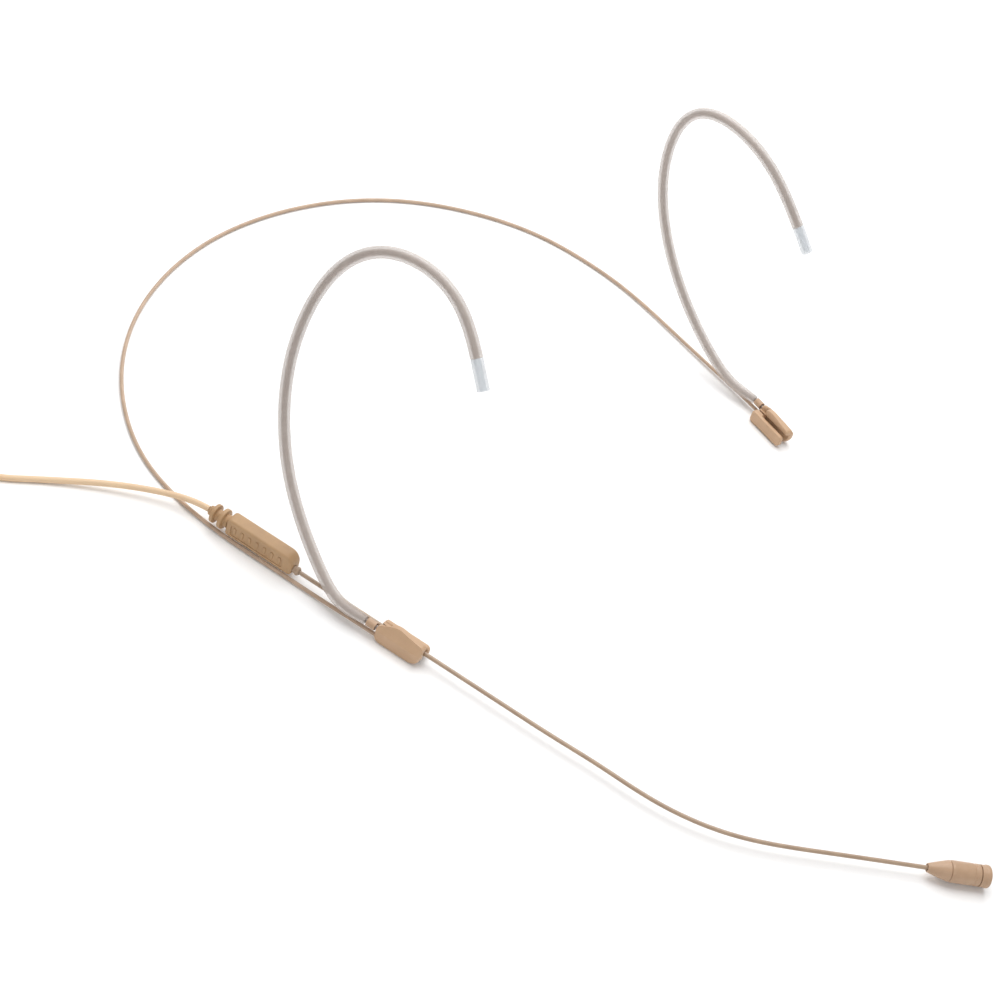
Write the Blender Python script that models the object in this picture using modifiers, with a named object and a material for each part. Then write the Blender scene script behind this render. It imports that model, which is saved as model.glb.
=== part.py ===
"""Headset microphone: a spring neckband with a clip and an ear hook at each end, a mouth boom with its
capsule, and an inline connector with its cable and plug.

The wearer faces -Y, with their right side at -X. The headset rests on the plane Z = 0.
Run it with: blender --background --python part.py
"""

import math

import bmesh
import bpy
import numpy as np
from mathutils import Matrix, Vector

# Lengths in this file are in millimetres. The builders below turn them into metres.
MM = 0.001
RIGHT, LEFT = -1, 1
SIDE_NAMES = {RIGHT: "right", LEFT: "left"}

# Boom axis: it runs level through the right clip, turned in towards the mouth.
AXIS_HEIGHT = 2.4
TOE_IN = math.radians(11.6)
BOOM_RADIUS = 0.475
BOOM_WALL = 0.17
CORE_RADIUS = 0.16

# Clips: the place is the middle of the rear face, (x, y) on the ground.
CLIP_AT = {RIGHT: (-60.8, 0.5), LEFT: (61.8, 0.0)}
CLIP_REAR = -0.8
CLIP_FRONT = -11.3
CLIP_SIDE = [  # corners (along, up, radius) of the outer leaf seen from the side
    (CLIP_REAR, 0, 1.4), (CLIP_FRONT, 0, 2.5), (CLIP_FRONT, 3.9, 1.2), (-5.8, 5.3, 2.4), (CLIP_REAR, 3.75, 0.3),
]
CLIP_OUTSIDE = 2.3
CLIP_INSIDE = 1.9
CHANNEL_HALF = 0.85
SPINE_FRONT = -3.3
LEAF_TOP = 3.1
LEAF_BOTTOM = 0.3

# Wires, and their blind bores in a clip's rear face: (outward, up).
WIRE_RADIUS = 0.45
WIRE_BORE = 0.55
BORE_DEPTH = 3.1
PIN_DEPTH = 2.8
HOOK_BORE = (1.45, 2.9)
NECK_BORE = (1.45, 0.95)

# Ear hooks: each lies in a plane that leans in over the ear.
HOOK_LEAN = math.radians(14)
HOOK_YAW = math.radians(5)
HOOK_ROOT = {  # (x, y, height) on the way from the bore up to the first bend
    RIGHT: [(-64.4, 8, 3.1), (-63.8, 14, 4.9)],
    LEFT: [(62.6, 7.3, 2.9), (63.5, 15.5, 4.6)],
}
HOOK_BENDS = {  # (back, up) from the bore's mouth
    RIGHT: [(31, 14.5), (40.5, 36), (38.5, 58.5), (27.5, 69), (11.5, 69), (2, 58), (-0.5, 55)],
    LEFT: [(31.5, 14), (42, 36), (39.5, 60), (28.5, 69.5), (12.5, 67.5), (2.5, 57.5), (-2.5, 51.5)],
}
SLEEVE_RADIUS = 1.2
SLEEVE_WALL = 0.55
SLEEVE_START = {RIGHT: 4.0, LEFT: 3.0}
EMPTY_TIP = 6.0
FERRULE_END = 1.5

# Neckband: from the right clip round the back of the head to the left clip, (x, y, height).
NECK_BENDS = [
    (-64.5, 12, 0.6), (-66, 20, 0.5), (-68, 29.5, 0.5), (-70, 39.5, 0.5), (-70.5, 57.5, 0.5),
    (-64.5, 73.5, 0.5), (-52.5, 90, 0.5), (-33, 104.5, 0.5), (-5.5, 113.5, 0.5), (24.5, 111.5, 0.5),
    (48.5, 100.5, 0.5), (65.5, 79.5, 0.5), (69.5, 62, 0.5), (70.5, 46.5, 0.6), (67, 26, 0.8),
]

# Boom: straight to this distance ahead of the clip's rear face, then bent to the capsule, (x, y).
BOOM_STRAIGHT = 22.0
BOOM_BENDS = [(-52.5, -40), (-50, -49.5), (-48, -62.5), (-41.5, -76.5), (-29, -89), (-14.6, -103.9)]

# Capsule: lengths along its axis from the small end of the cone.
TUBE_SEAT = 1.2
CONE_LENGTH = 4.3
CAPSULE_LENGTH = 10.3
CAP_LENGTH = 12.3
CAPSULE_RADIUS = 2.1
LIP_RADIUS = 2.3

# Inline connector: distances back from the clip's rear face, and its section (outward, up).
CONNECTOR_FRONT = 20.2
CONNECTOR_REAR = 36.4
RELIEF_END = 41.3
HOUSING_OUT = (-2.0, 1.15)
HOUSING_UP = (1.05, 5.35)
RELIEF_CENTRE = (-0.4, 3.15)
PLUG_BORE = 0.85
BARREL_RADIUS = 0.76

# Cable, its coil and the jack plug at its far end.
CABLE_RADIUS = 0.65
TOUCH_GAP = 0.3
CABLE_ROUTE = [
    (-69.7, 44.5, 3.05), (-71.6, 48.7, 2.5), (-75.9, 54.3, 2.0), (-81, 59.6, 1.5), (-86.4, 64.4, 0.85),
    (-92, 68.7, 0.65), (-96.6, 71.8, 0.65), (-99.2, 75.6, 0.65), (-101.2, 80, 0.65),
]
COIL_AT = (-113, 73)
COIL_MEAN_RADIUS = 7.93
COIL_BUNDLE = (8.16, 5.2)
COIL_BASE = 0.55
TIE_WIDTH = 3.0
TIE_MARGIN = 0.45
TIE_THICKNESS = 0.35
LEAD_ROUTE = [
    (-117.5, 87.2, 4.2), (-121, 90.8, 3.2), (-123.4, 95.6, 2.8), (-127.2, 99.4, 3.1), (-131.2, 98.6, 3.7),
    (-132.1, 95, 4.0), (-131.5, 93, 4.05),
]
PLUG_AT = (-131.5, 91.0)
PLUG_AXIS_HEIGHT = 4.05
BOOT_LENGTH = 10.0
GRIP_LENGTH = 13.0
NECK_LENGTH = 7.4

# Finishes: colour (linear), roughness, metallic, alpha.
FINISHES = {
    "tan_plastic": ((0.50, 0.32, 0.19), 0.5, 0.0, 1.0),
    "tan_wire": ((0.40, 0.27, 0.18), 0.45, 0.0, 1.0),
    "clear_sleeve": ((0.55, 0.47, 0.40), 0.35, 0.0, 0.5),
    "tan_cable": ((0.66, 0.46, 0.28), 0.55, 0.0, 1.0),
    "bright_metal": ((0.62, 0.60, 0.57), 0.25, 1.0, 1.0),
    "gold_contact": ((0.75, 0.52, 0.20), 0.25, 1.0, 1.0),
    "black_plastic": ((0.02, 0.02, 0.02), 0.5, 0.0, 1.0),
    "rubber_seal": ((0.05, 0.05, 0.05), 0.8, 0.0, 1.0),
}


class Workshop:
    """The collections, the finishes and the pivots that the pieces are made in."""

    def __init__(self):
        for obj in list(bpy.data.objects):
            bpy.data.objects.remove(obj, do_unlink=True)
        self.parts = self.collection("headset_microphone")
        self.cutters = self.collection("cutters")
        self.finishes = {name: self.finish(name, *values) for name, values in FINISHES.items()}
        self.pivot = None

    @staticmethod
    def collection(name):
        made = bpy.data.collections.new(name)
        bpy.context.scene.collection.children.link(made)
        return made

    @staticmethod
    def finish(name, colour, roughness, metallic, alpha):
        made = bpy.data.materials.new(name)
        made.use_nodes = True
        shader = made.node_tree.nodes["Principled BSDF"]
        shader.inputs["Base Color"].default_value = (*colour, 1.0)
        shader.inputs["Roughness"].default_value = roughness
        shader.inputs["Metallic"].default_value = metallic
        shader.inputs["Alpha"].default_value = alpha
        return made

    def start_body(self, name, place=(0, 0, 0)):
        """An empty on the body's joint axis. The pieces made after it are its children."""
        self.pivot = bpy.data.objects.new(name + "_pivot", None)
        self.pivot.location = Vector(place) * MM
        self.parts.objects.link(self.pivot)

    def add(self, name, data, finish, matrix=None):
        piece = bpy.data.objects.new(name, data)
        piece.matrix_world = matrix or Matrix.Identity(4)
        self.parts.objects.link(piece)
        data.materials.append(self.finishes[finish])
        piece.parent = self.pivot
        piece.matrix_parent_inverse = Matrix.Translation(-self.pivot.location)
        if isinstance(data, bpy.types.Mesh):
            data.shade_smooth()
            data.set_sharp_from_angle(angle=math.radians(35))
        return piece

    def cut(self, piece, mesh, matrix=None, operation="DIFFERENCE"):
        """Cuts a mesh out of a piece."""
        cutter = bpy.data.objects.new(f"{piece.name}_cutter_{len(piece.modifiers)}", mesh)
        cutter.matrix_world = matrix or piece.matrix_world.copy()
        cutter.hide_render = True
        cutter.display_type = "WIRE"
        self.cutters.objects.link(cutter)
        modifier = piece.modifiers.new("cut", "BOOLEAN")
        modifier.operation = operation
        modifier.object = cutter

    def join(self, piece, mesh):
        """Joins a mesh to a piece, as one body."""
        self.cut(piece, mesh, operation="UNION")


# Places and directions


def clip_frame(side):
    """A clip's own frame: the origin is under its rear face, +Y points back along the boom axis, +Z up."""
    x, y = CLIP_AT[side]
    return Matrix.Translation((x * MM, y * MM, 0)) @ Matrix.Rotation(-side * TOE_IN, 4, "Z")


def clip_place(side, outward, back, up):
    """A point of a clip's frame, in millimetres of the world."""
    return clip_frame(side) @ Vector((side * outward * MM, back * MM, up * MM)) / MM


def along(side, back, outward=0.0, up=AXIS_HEIGHT, towards="back"):
    """A frame with +Z along the boom axis, for turned pieces."""
    angle = math.pi / 2 if towards == "front" else -math.pi / 2
    place = Matrix.Translation((side * outward * MM, back * MM, up * MM))
    return clip_frame(side) @ place @ Matrix.Rotation(angle, 4, "X")


def aimed(place, direction):
    """A frame at a point, with +Z along a direction."""
    turn = Vector(direction).to_track_quat("Z", "Y").to_matrix().to_4x4()
    return Matrix.Translation(Vector(place) * MM) @ turn


# Shapes


def smooth_route(points, spacing, per_span=12):
    """Points at even spacing along a uniform cubic B-spline that starts and ends at the end points."""
    p = np.array([tuple(point) for point in points], float)
    p = np.vstack([p[:1], p[:1], p, p[-1:], p[-1:]])
    t = np.linspace(0, 1, per_span, endpoint=False)[:, None]
    weights = ((1 - t) ** 3, 3 * t**3 - 6 * t**2 + 4, -3 * t**3 + 3 * t**2 + 3 * t + 1, t**3)
    spans = [sum(w * p[i + k] for k, w in enumerate(weights)) / 6 for i in range(len(p) - 3)]
    return stretch_of(np.vstack([*spans, p[-1:]]), 0.0, None, spacing)


def stretch_of(points, start, stop, spacing):
    """The stretch of a polyline between two distances along it, with its points evenly spaced."""
    points = np.asarray(points, float)
    reached = np.concatenate([[0], np.cumsum(np.linalg.norm(np.diff(points, axis=0), axis=1))])
    stop = reached[-1] if stop is None else stop
    at = np.linspace(start, stop, max(2, round((stop - start) / spacing) + 1))
    return np.column_stack([np.interp(at, reached, points[:, axis]) for axis in range(3)])


def length_of(points):
    return float(np.linalg.norm(np.diff(np.asarray(points, float), axis=0), axis=1).sum())


def wire_curve(name, route, radius, filled=True, bevel_resolution=2):
    curve = bpy.data.curves.new(name, "CURVE")
    curve.dimensions = "3D"
    curve.bevel_depth = radius * MM
    curve.bevel_resolution = bevel_resolution
    curve.use_fill_caps = filled
    spline = curve.splines.new("POLY")
    spline.points.add(len(route) - 1)
    for point, place in zip(spline.points, route):
        point.co = (*(value * MM for value in place), 1.0)
    return curve


def wire(shop, name, route, radius, finish, bevel_resolution=2):
    return shop.add(name, wire_curve(name, route, radius, True, bevel_resolution), finish)


def hollow_wire(shop, name, route, radius, wall, finish):
    """A tube along a route, open at both ends."""
    tube = shop.add(name, wire_curve(name, route, radius, False), finish)
    shell = tube.modifiers.new("wall", "SOLIDIFY")
    shell.thickness = wall * MM
    shell.offset = -1.0
    return tube


def turned(shop, name, profile, finish, matrix, steps=20, ring=False):
    """A turned piece. The profile is (radius, height) down its outer side, closed on itself for a ring."""
    mesh = bpy.data.meshes.new(name)
    bm = bmesh.new()
    verts = [bm.verts.new((radius * MM, 0, height * MM)) for radius, height in profile]
    for upper, lower in zip(verts, verts[1:]):
        bm.edges.new((upper, lower))
    if ring:
        bm.edges.new((verts[-1], verts[0]))
    bm.to_mesh(mesh)
    bm.free()
    piece = shop.add(name, mesh, finish, matrix)
    screw = piece.modifiers.new("turn", "SCREW")
    screw.axis = "Z"
    screw.steps = screw.render_steps = steps
    screw.use_merge_vertices = True
    screw.merge_threshold = 0.00001
    screw.use_smooth_shade = True
    return piece


def sleeve_profile(outer, inner, bottom, top):
    return [(outer, top), (outer, bottom), (inner, bottom), (inner, top)]


def rod_profile(radius, bottom, top):
    return [(0, top), (radius, top), (radius, bottom), (0, bottom)]


def rod_mesh(name, radius, bottom, top, sides=20):
    """A round cutter along +Z."""
    bm = bmesh.new()
    bmesh.ops.create_cone(
        bm, cap_ends=True, segments=sides, radius1=radius * MM, radius2=radius * MM, depth=(top - bottom) * MM,
        matrix=Matrix.Translation((0, 0, (top + bottom) / 2 * MM)),
    )
    return finished_mesh(bm, name)


def box_mesh(name, low, high):
    bm = bmesh.new()
    size = [(b - a) * MM for a, b in zip(low, high)]
    centre = [(a + b) / 2 * MM for a, b in zip(low, high)]
    bmesh.ops.create_cube(bm, size=1.0, matrix=Matrix.Translation(centre) @ Matrix.Diagonal((*size, 1)))
    return finished_mesh(bm, name)


def side_box(name, side, outward, along_axis, up):
    """A box in a clip's frame, given by its spans outwards, along the boom axis and upwards."""
    across = sorted(side * value for value in outward)
    return box_mesh(name, *zip(across, along_axis, up))


def outline_mesh(name, outline, start, stop, side=1):
    """A flat outline (along Y, up Z) pulled out sideways from start to stop."""
    bm = bmesh.new()
    face = bm.faces.new([bm.verts.new((side * start * MM, y * MM, z * MM)) for y, z in outline])
    pulled = bmesh.ops.extrude_face_region(bm, geom=[face])["geom"]
    moved = [item for item in pulled if isinstance(item, bmesh.types.BMVert)]
    bmesh.ops.translate(bm, verts=moved, vec=(side * (stop - start) * MM, 0, 0))
    bmesh.ops.recalc_face_normals(bm, faces=bm.faces)
    return finished_mesh(bm, name)


def finished_mesh(bm, name):
    mesh = bpy.data.meshes.new(name)
    bm.to_mesh(mesh)
    bm.free()
    return mesh


def rounded_outline(corners, steps=4):
    """An outline with each corner (y, z, radius) rounded by an arc."""
    outline = []
    for index, (y, z, radius) in enumerate(corners):
        corner = Vector((y, z))
        before = (Vector(corners[index - 1][:2]) - corner).normalized() * radius
        after = (Vector(corners[(index + 1) % len(corners)][:2]) - corner).normalized() * radius
        if not radius:
            outline.append(tuple(corner))
            continue
        for step in range(steps + 1):
            t = step / steps
            outline.append(tuple(corner + before * (1 - t) ** 2 + after * t**2))
    return outline


def soften(piece, width, segments=2):
    bevel = piece.modifiers.new("edges", "BEVEL")
    bevel.width = width * MM
    bevel.segments = segments
    bevel.limit_method = "ANGLE"
    bevel.angle_limit = math.radians(40)


# Clips and wires


def add_clip(shop, side):
    """One clip: the body with its outer leaf and spine, and the inner leaf that plugs into the spine."""
    name = SIDE_NAMES[side]
    frame = clip_frame(side)
    mesh = outline_mesh("clip_body", rounded_outline(CLIP_SIDE), -CLIP_INSIDE, CLIP_OUTSIDE, side)
    body = shop.add(f"{name}_clip_body", mesh, "tan_plastic", frame)
    soften(body, 0.35)
    shop.cut(body, side_box("channel", side, (-5, CHANNEL_HALF), (CLIP_FRONT - 1, SPINE_FRONT), (-1, 9)))
    shop.cut(body, side_box("shoulder", side, (-5, -CHANNEL_HALF), (SPINE_FRONT - 1, 1), (LEAF_TOP, 9)))
    shop.cut(body, side_box("tongue_slot", side, (-1.65, -0.95), (SPINE_FRONT - 1, -1.5), (0.8, 2.5)))
    shop.cut(body, rod_mesh("boom_bore", 0.6, -1, 5), along(side, 0, towards="front"))
    for outward, up in (HOOK_BORE, NECK_BORE):
        bore = rod_mesh("wire_bore", WIRE_BORE, -1, BORE_DEPTH, sides=12)
        shop.cut(body, bore, along(side, 0, outward, up, towards="front"))
    add_leaf(shop, side, frame)


def add_leaf(shop, side, frame):
    name = SIDE_NAMES[side]
    rear = SPINE_FRONT - 0.1
    front = CLIP_FRONT
    blade = [(rear, LEAF_BOTTOM, 0.2), (front, LEAF_BOTTOM, 1.2), (front, LEAF_TOP, 0.8), (rear, LEAF_TOP, 0.2)]
    mesh = outline_mesh("leaf", rounded_outline(blade), -CLIP_INSIDE, -CHANNEL_HALF, side)
    leaf = shop.add(f"{name}_clip_leaf", mesh, "tan_plastic", frame)
    soften(leaf, 0.2)
    shop.join(leaf, side_box("tongue", side, (-1.55, -1.05), (rear - 0.6, -1.7), (0.9, 2.4)))


def hook_route(side):
    """The wire's centre line outside the clip, from the bore's mouth to the sleeve's end."""
    back = Vector((side * math.sin(HOOK_YAW), math.cos(HOOK_YAW), 0))
    up = Vector((
        -side * math.sin(HOOK_LEAN) * math.cos(HOOK_YAW), math.sin(HOOK_LEAN) * math.sin(HOOK_YAW),
        math.cos(HOOK_LEAN),
    ))
    mouth = clip_place(side, HOOK_BORE[0], 0, HOOK_BORE[1])
    straight = [clip_place(side, HOOK_BORE[0], distance, HOOK_BORE[1]) for distance in (1.2, 2.4)]
    root = [Vector(point) for point in HOOK_ROOT[side]]
    bends = [mouth + back * b + up * u for b, u in HOOK_BENDS[side]]
    return smooth_route([mouth, *straight, *root, *bends], 1.0)


def add_hook(shop, side):
    """One ear hook: a formed wire, a translucent sleeve that runs on past its end, and a ferrule."""
    name = SIDE_NAMES[side]
    mouth = clip_place(side, HOOK_BORE[0], 0, HOOK_BORE[1])
    shop.start_body(f"{name}_hook", mouth)
    route = hook_route(side)
    whole = length_of(route)
    pin = clip_place(side, HOOK_BORE[0], -PIN_DEPTH, HOOK_BORE[1])
    core = [pin, *stretch_of(route, 0, whole - EMPTY_TIP, 3.6)]
    wire(shop, f"{name}_hook_wire", core, WIRE_RADIUS, "tan_wire")
    sleeve = stretch_of(route, SLEEVE_START[side], whole, 3.6)
    hollow_wire(shop, f"{name}_hook_sleeve", sleeve, SLEEVE_RADIUS, SLEEVE_WALL, "clear_sleeve")
    ferrule = along(side, 0, *HOOK_BORE)
    profile = sleeve_profile(0.85, 0.62, CLIP_REAR + TOUCH_GAP, FERRULE_END)
    turned(shop, f"{name}_hook_ferrule", profile, "bright_metal", ferrule, 16, True)


def add_neckband(shop):
    pins = {side: clip_place(side, NECK_BORE[0], -PIN_DEPTH, NECK_BORE[1]) for side in (RIGHT, LEFT)}
    mouths = {side: clip_place(side, NECK_BORE[0], 0, NECK_BORE[1]) for side in (RIGHT, LEFT)}
    straights = {side: clip_place(side, NECK_BORE[0], 5, NECK_BORE[1]) for side in (RIGHT, LEFT)}
    bends = [mouths[RIGHT], straights[RIGHT], *NECK_BENDS, straights[LEFT], mouths[LEFT]]
    route = [pins[RIGHT], *smooth_route(bends, 4.5), pins[LEFT]]
    wire(shop, "neckband_wire", route, WIRE_RADIUS, "tan_wire")


# Boom and capsule


def boom_route():
    """From inside the connector's plug, straight through the clip, and round to the capsule."""
    tail = clip_place(RIGHT, 0, CONNECTOR_FRONT + 1.4, AXIS_HEIGHT)
    straight_end = clip_place(RIGHT, 0, -BOOM_STRAIGHT, AXIS_HEIGHT)
    bends = [clip_place(RIGHT, 0, -BOOM_STRAIGHT - 8, AXIS_HEIGHT)]
    bends += [Vector((x, y, AXIS_HEIGHT)) for x, y in BOOM_BENDS]
    return [tail, *smooth_route([straight_end, *bends], 3.4)]


def add_boom(shop):
    """The boom tube with its signal core, and the capsule on its end."""
    shop.start_body("boom", clip_place(RIGHT, 0, 0, AXIS_HEIGHT))
    route = boom_route()
    hollow_wire(shop, "boom_tube", route, BOOM_RADIUS, BOOM_WALL, "tan_wire")
    inset = [route[0] + 0.2 * (Vector(route[1]) - route[0]).normalized(), *route[1:-1]]
    wire(shop, "boom_signal_core", inset, CORE_RADIUS, "gold_contact", bevel_resolution=1)
    axis = Vector(route[-1] - route[-2]).normalized()
    frame = aimed(Vector(route[-1]) - axis * TUBE_SEAT, axis)
    cone = [
        (1.45, CONE_LENGTH + 1.0), (1.45, CONE_LENGTH), (2.05, CONE_LENGTH), (0.85, 0), (0.6, 0), (0.6, 1.6),
        (1.15, CONE_LENGTH), (1.15, CONE_LENGTH + 1.0),
    ]
    turned(shop, "capsule_cone", cone, "tan_plastic", frame, 24, True)
    body = [
        (CAPSULE_RADIUS, CAPSULE_LENGTH), (2.05, CONE_LENGTH + 0.1), (1.6, CONE_LENGTH + 0.1), (1.6, CAPSULE_LENGTH),
    ]
    turned(shop, "capsule_body", body, "tan_plastic", frame, 24, True)
    turned(shop, "microphone_cartridge", rod_profile(1.2, 5.9, 8.9), "bright_metal", frame)
    turned(shop, "cartridge_seal", sleeve_profile(1.5, 1.3, 6.3, 8.5), "rubber_seal", frame, 20, True)
    shop.start_body("capsule_cap", Vector(route[-1]) + axis * (CAPSULE_LENGTH - TUBE_SEAT))
    cap = [
        (LIP_RADIUS - 0.2, CAP_LENGTH), (LIP_RADIUS, CAP_LENGTH - 0.25), (LIP_RADIUS, CAP_LENGTH - 1.0),
        (CAPSULE_RADIUS, CAP_LENGTH - 1.3), (CAPSULE_RADIUS, CAPSULE_LENGTH + 0.1),
        (1.5, CAPSULE_LENGTH + 0.1), (1.5, CAPSULE_LENGTH - 1.0), (1.15, CAPSULE_LENGTH - 1.0),
        (1.15, CAP_LENGTH - 1.1), (1.75, CAP_LENGTH - 1.1), (1.75, CAP_LENGTH - 0.5), (1.45, CAP_LENGTH - 0.5),
        (1.45, CAP_LENGTH),
    ]
    turned(shop, "capsule_cap", cap, "tan_plastic", frame, 24, True)
    turned(shop, "capsule_screen", rod_profile(1.65, CAP_LENGTH - 1.0, CAP_LENGTH - 0.6), "bright_metal", frame)


def add_grip(shop):
    """The friction sleeve that the clip holds and the boom slides in."""
    shop.start_body("boom_grip", clip_place(RIGHT, 0, 0, AXIS_HEIGHT))
    frame = along(RIGHT, SPINE_FRONT - TOUCH_GAP, towards="front")
    turned(shop, "boom_grip_sleeve", sleeve_profile(0.75, 0.58, 0, 6.6), "rubber_seal", frame, 16, True)


# Connector and cable


def add_tail_plug(shop):
    """The coaxial plug on the boom's tail, which can turn in its socket."""
    shop.start_body("tail_plug", clip_place(RIGHT, 0, CONNECTOR_FRONT, AXIS_HEIGHT))
    frame = along(RIGHT, CONNECTOR_FRONT)
    barrel = [
        (BARREL_RADIUS, 7.0), (BARREL_RADIUS, -0.6), (0.9, -0.7), (0.9, -1.1), (0.58, -1.4), (0.58, 7.0),
    ]
    turned(shop, "tail_plug_barrel", barrel, "bright_metal", frame, 16, True)
    turned(shop, "tail_plug_insulator", sleeve_profile(0.5, 0.22, 2.2, 6.8), "black_plastic", frame, 16, True)
    turned(shop, "tail_plug_pin", rod_profile(0.16, 2.0, 8.6), "gold_contact", frame, 12)


def add_connector(shop):
    """The moulded housing with its socket, the strain relief, the cable, its coil and its plug."""
    shop.start_body("connector", clip_place(RIGHT, 0, CONNECTOR_FRONT, AXIS_HEIGHT))
    frame = clip_frame(RIGHT)
    low, high = HOUSING_UP
    corners = [
        (CONNECTOR_REAR, low, 0.4), (CONNECTOR_FRONT, low, 0.8), (CONNECTOR_FRONT, high, 2.2),
        (CONNECTOR_REAR, high, 0.6),
    ]
    mesh = outline_mesh("housing", rounded_outline(corners), *HOUSING_OUT, RIGHT)
    housing = shop.add("connector_housing", mesh, "tan_plastic", frame)
    soften(housing, 0.3)
    shop.cut(housing, rod_mesh("plug_bore", PLUG_BORE, -1, 7.6), along(RIGHT, CONNECTOR_FRONT))
    shop.cut(housing, rod_mesh("contact_bore", 0.42, 6, 9.6, 12), along(RIGHT, CONNECTOR_FRONT))
    panel = ((0.95, 1.4), (CONNECTOR_FRONT + 2.2, CONNECTOR_REAR - 1.2), (low + 0.75, high - 0.9))
    shop.cut(housing, side_box("panel", RIGHT, *panel))
    contact = along(RIGHT, CONNECTOR_FRONT)
    turned(shop, "socket_contact", sleeve_profile(0.36, 0.24, 7.1, 9.3), "gold_contact", contact, 12, True)
    relief_frame = along(RIGHT, CONNECTOR_REAR, *RELIEF_CENTRE)
    turned(shop, "strain_relief", relief_profile(), "tan_plastic", relief_frame, 16)
    add_cable(shop)
    add_plug(shop)


def relief_profile():
    """Two broad ribs on a tapering core, from the cable's end down to the housing."""
    length = RELIEF_END - CONNECTOR_REAR
    return [
        (0, length), (1.0, length), (1.2, length - 0.9), (2.0, length - 1.0), (2.0, length - 1.9),
        (1.3, length - 2.0), (1.3, length - 2.9), (2.15, length - 3.0), (2.15, length - 4.0), (1.4, length - 4.1),
        (1.4, 0.1), (0, 0.1),
    ]


def add_cable(shop):
    exit_point = clip_place(RIGHT, RELIEF_CENTRE[0], RELIEF_END + TOUCH_GAP, RELIEF_CENTRE[1])
    wire(shop, "cable", smooth_route([exit_point, *CABLE_ROUTE], 2.8), CABLE_RADIUS, "tan_cable")
    wire(shop, "cable_plug_end", smooth_route([*LEAD_ROUTE, (*PLUG_AT, PLUG_AXIS_HEIGHT)], 2.4), CABLE_RADIUS,
         "tan_cable")
    wide, high = COIL_BUNDLE
    inner, outer = COIL_MEAN_RADIUS - wide / 2, COIL_MEAN_RADIUS + wide / 2
    low, top, round_off = COIL_BASE, COIL_BASE + high, 1.3
    section = [
        (outer - round_off, top), (outer, top - round_off), (outer, low + round_off), (outer - round_off, low),
        (inner + round_off, low), (inner, low + round_off), (inner, top - round_off), (inner + round_off, top),
    ]
    at_coil = Matrix.Translation((COIL_AT[0] * MM, COIL_AT[1] * MM, 0))
    turned(shop, "cable_coil", section, "tan_cable", at_coil, 28, True)
    add_tie(shop, at_coil, inner - TIE_MARGIN, outer + 0.15, low - 0.1, top + 0.1)


def add_tie(shop, at_coil, inner, outer, low, top):
    """A flat band round the bundle, on the coil's far side."""
    bm = bmesh.new()
    corners = [(inner, low), (outer, low), (outer, top), (inner, top)]
    rings = [
        [bm.verts.new((x * MM, y * MM, z * MM)) for x, z in corners] for y in (-TIE_WIDTH / 2, TIE_WIDTH / 2)
    ]
    for index in range(4):
        following = (index + 1) % 4
        bm.faces.new((rings[0][index], rings[0][following], rings[1][following], rings[1][index]))
    bmesh.ops.recalc_face_normals(bm, faces=bm.faces)
    turn = Matrix.Rotation(math.radians(215), 4, "Z")
    tie = shop.add("coil_tie", finished_mesh(bm, "tie"), "black_plastic", at_coil @ turn)
    band = tie.modifiers.new("band", "SOLIDIFY")
    band.thickness = TIE_THICKNESS * MM
    band.offset = 1.0
    band.use_even_offset = True


def add_plug(shop):
    """The jack plug, lying beside the coil with its tip towards -Y."""
    frame = aimed((*PLUG_AT, PLUG_AXIS_HEIGHT), (0, -1, 0))
    boot_start = TOUCH_GAP
    shoulder = boot_start + BOOT_LENGTH + GRIP_LENGTH
    front = shoulder + NECK_LENGTH
    boot = [
        (0, shoulder - GRIP_LENGTH - 0.1), (2.3, shoulder - GRIP_LENGTH - 0.1), (2.1, 6.5), (1.5, 5.5), (1.8, 4.4),
        (1.3, 3.3), (1.5, 2.2), (1.0, boot_start), (0, boot_start),
    ]
    turned(shop, "plug_boot", boot, "tan_plastic", frame)
    grip = [
        (0, front), (2.9, front), (2.9, front - 0.6), (2.5, front - 0.7), (2.5, shoulder),
        (3.3, shoulder), (3.3, shoulder - GRIP_LENGTH + 0.6), (2.9, shoulder - GRIP_LENGTH),
        (0, shoulder - GRIP_LENGTH),
    ]
    turned(shop, "plug_grip", grip, "bright_metal", frame)
    sections = [
        ("plug_sleeve_contact", 1.75, 8.0, "gold_contact"),
        ("plug_rear_band", 1.65, 0.6, "black_plastic"),
        ("plug_ring_contact", 1.75, 1.9, "gold_contact"),
        ("plug_front_band", 1.65, 0.6, "black_plastic"),
    ]
    at = front + 0.1
    for name, radius, length, finish in sections:
        turned(shop, name, rod_profile(radius, at, at + length), finish, frame)
        at += length + 0.05
    tip = [(0, at + 3.2), (0.6, at + 3.1), (1.7, at + 1.6), (1.7, at + 1.2), (1.3, at + 0.8), (1.3, at), (0, at)]
    turned(shop, "plug_tip_contact", tip, "gold_contact", frame)
    shop.start_body("lock_collar", (PLUG_AT[0], PLUG_AT[1] - shoulder, PLUG_AXIS_HEIGHT))
    collar = [
        (4.0, front - 0.1), (4.0, shoulder + 0.6), (3.6, shoulder + 0.2), (2.62, shoulder + 0.2),
        (2.62, front - 0.85), (3.05, front - 0.75), (3.05, front - 0.1),
    ]
    turned(shop, "plug_lock_collar", collar, "bright_metal", frame, 24, True)


def main():
    shop = Workshop()
    shop.start_body("frame")
    add_neckband(shop)
    for side in (RIGHT, LEFT):
        add_clip(shop, side)
    for side in (RIGHT, LEFT):
        add_hook(shop, side)
    add_grip(shop)
    add_boom(shop)
    add_tail_plug(shop)
    add_connector(shop)


main()
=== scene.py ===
"""The looks of a headset microphone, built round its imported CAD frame.

The wearer faces -Y, with their right side at -X. Lengths in the classes below are in millimetres, and the
mesh builders turn them into metres.
"""

import logging
import math
from dataclasses import dataclass, field
from enum import Enum
from typing import Any, Iterable, Sequence

import bmesh
import bpy
import numpy as np
from mathutils import Matrix, Vector


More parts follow.
